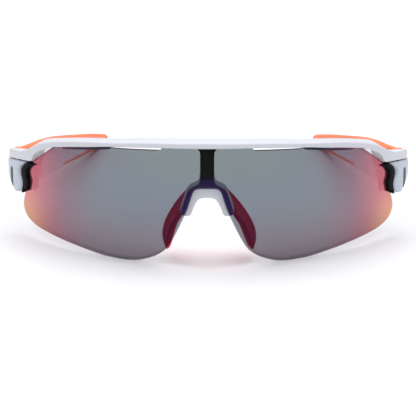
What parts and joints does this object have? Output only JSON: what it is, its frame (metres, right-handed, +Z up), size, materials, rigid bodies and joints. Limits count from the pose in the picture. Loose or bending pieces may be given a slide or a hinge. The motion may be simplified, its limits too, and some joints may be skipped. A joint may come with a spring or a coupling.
{
  "type": "wraparound sport sunglasses",
  "caption": "Wraparound sport sunglasses with a one-piece mirrored shield lens, white brow bar, orange rubber nose pads and grips, and folding temple arms.",
  "frame": {"origin": "centre of the bounding box in X and Y, on the surface that the glasses rest on, with the arms open", "axes": "+X to the right seen from in front of the lens, +Y from the lens back along the arms, +Z up"},
  "size_m": [0.1452, 0.1502, 0.0448],
  "materials": {
    "white_frame": "satin injection-moulded nylon, off-white with a slight lavender cast",
    "smoke_lens": "polished polycarbonate, smoke tint with a mirror coat that turns red and orange at the wrapped ends",
    "black_post": "fine matte moulding",
    "black_gloss": "glossy black moulding",
    "orange_rubber": "soft matte rubber",
    "steel": "machined steel",
    "dark_badge": "glossy inlay"
  },
  "bodies": {
    "front": {"frame_front": "white_frame", "shield_lens": "smoke_lens", "centre_post": "black_post", "nose_bridge": "white_frame", "nose_pad_left": "orange_rubber", "nose_pad_right": "orange_rubber", "end_block_left": "black_gloss", "end_block_right": "black_gloss", "end_screw_left": "steel", "end_screw_right": "steel", "hinge_screw_left": "steel", "hinge_screw_right": "steel", "hinge_nut_left": "steel", "hinge_nut_right": "steel"},
    "temple_left": {"temple_arm_left": "white_frame", "temple_liner_left": "orange_rubber", "temple_grip_left": "orange_rubber", "badge_left": "dark_badge"},
    "temple_right": {"temple_arm_right": "white_frame", "temple_liner_right": "orange_rubber", "temple_grip_right": "orange_rubber", "badge_right": "dark_badge"}
  },
  "joints": [
    {"name": "right_hinge", "type": "hinge", "parent": "front", "child": "temple_right", "pos_m": [0.066, -0.03292, 0.021], "axis": [0, 0.1736, 0.9848], "range_deg": [0, 80]},
    {"name": "left_hinge", "type": "hinge", "parent": "front", "child": "temple_left", "pos_m": [-0.066, -0.03292, 0.021], "axis": [0, -0.1736, -0.9848], "range_deg": [0, 68]}
  ]
}
